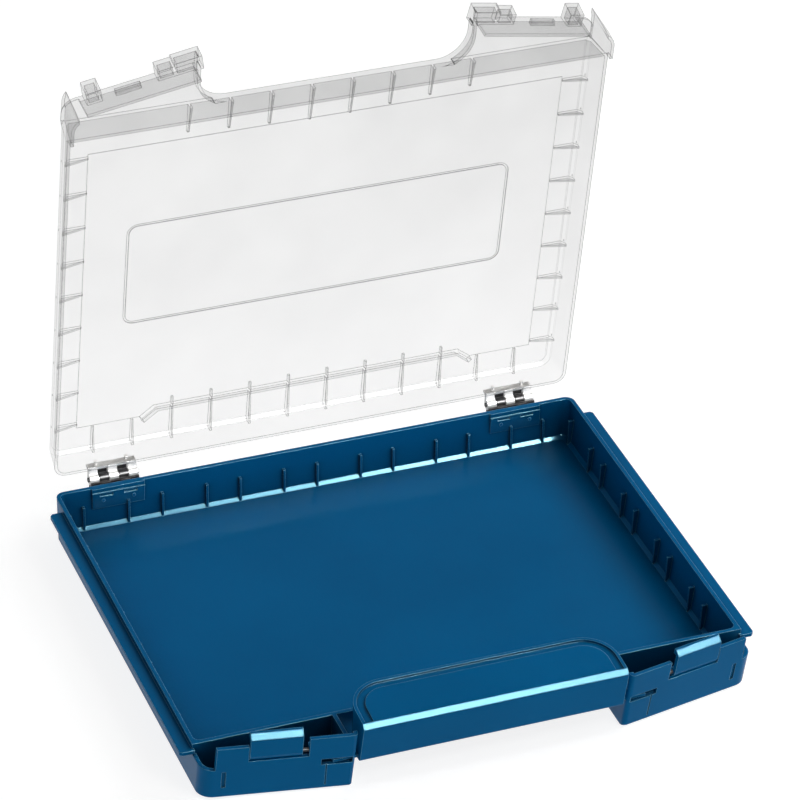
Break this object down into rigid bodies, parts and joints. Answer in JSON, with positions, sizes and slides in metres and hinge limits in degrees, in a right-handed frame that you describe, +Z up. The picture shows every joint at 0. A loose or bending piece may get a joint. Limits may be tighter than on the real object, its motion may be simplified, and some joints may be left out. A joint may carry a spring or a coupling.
{
  "type": "tool case",
  "caption": "Flat tool case: moulded tray with side rails and a front grip, clear hinged lid standing open, and flip latches on the front wings.",
  "frame": {"origin": "centre of the underside, half-way between the wing fronts and the rear wall, on the plane it stands on", "axes": "+X along the front to the right as seen from the front, -Y to the grip, +Y to the hinges, +Z up"},
  "size_m": [0.367, 0.3272, 0.3391],
  "materials": {
    "blue_plastic": "satin",
    "clear_plastic": "clear",
    "hinge_plastic": "satin",
    "black_plastic": "satin",
    "steel": "bright"
  },
  "bodies": {
    "base": {"base_tray": "blue_plastic", "handle_hood": "blue_plastic", "left_latch_pin": "steel", "right_latch_pin": "steel", "left_hinge_base_leaf": "black_plastic", "right_hinge_base_leaf": "black_plastic", "left_hinge_pin": "steel", "right_hinge_pin": "steel", "left_base_rivets": "blue_plastic", "right_base_rivets": "blue_plastic"},
    "lid": {"lid_shell": "clear_plastic", "left_lid_catch": "clear_plastic", "right_lid_catch": "clear_plastic", "left_hinge_lid_leaf": "hinge_plastic", "right_hinge_lid_leaf": "hinge_plastic", "left_lid_rivets": "steel", "right_lid_rivets": "steel"},
    "right_latch": {"right_latch": "blue_plastic"},
    "left_latch": {"left_latch": "blue_plastic"}
  },
  "joints": [
    {"name": "lid_hinge", "type": "hinge", "parent": "base", "child": "lid", "pos_m": [0, 0.15563, 0.031], "axis": [1, 0, 0], "range_deg": [0, 84]},
    {"name": "right_latch_pivot", "type": "hinge", "parent": "base", "child": "right_latch", "pos_m": [0.13274, -0.13733, 0.0325], "axis": [0.9839, 0.1788, 0], "range_deg": [-10, 65]},
    {"name": "left_latch_pivot", "type": "hinge", "parent": "base", "child": "left_latch", "pos_m": [-0.13274, -0.13733, 0.0325], "axis": [0.9839, -0.1788, 0], "range_deg": [-10, 65]}
  ]
}
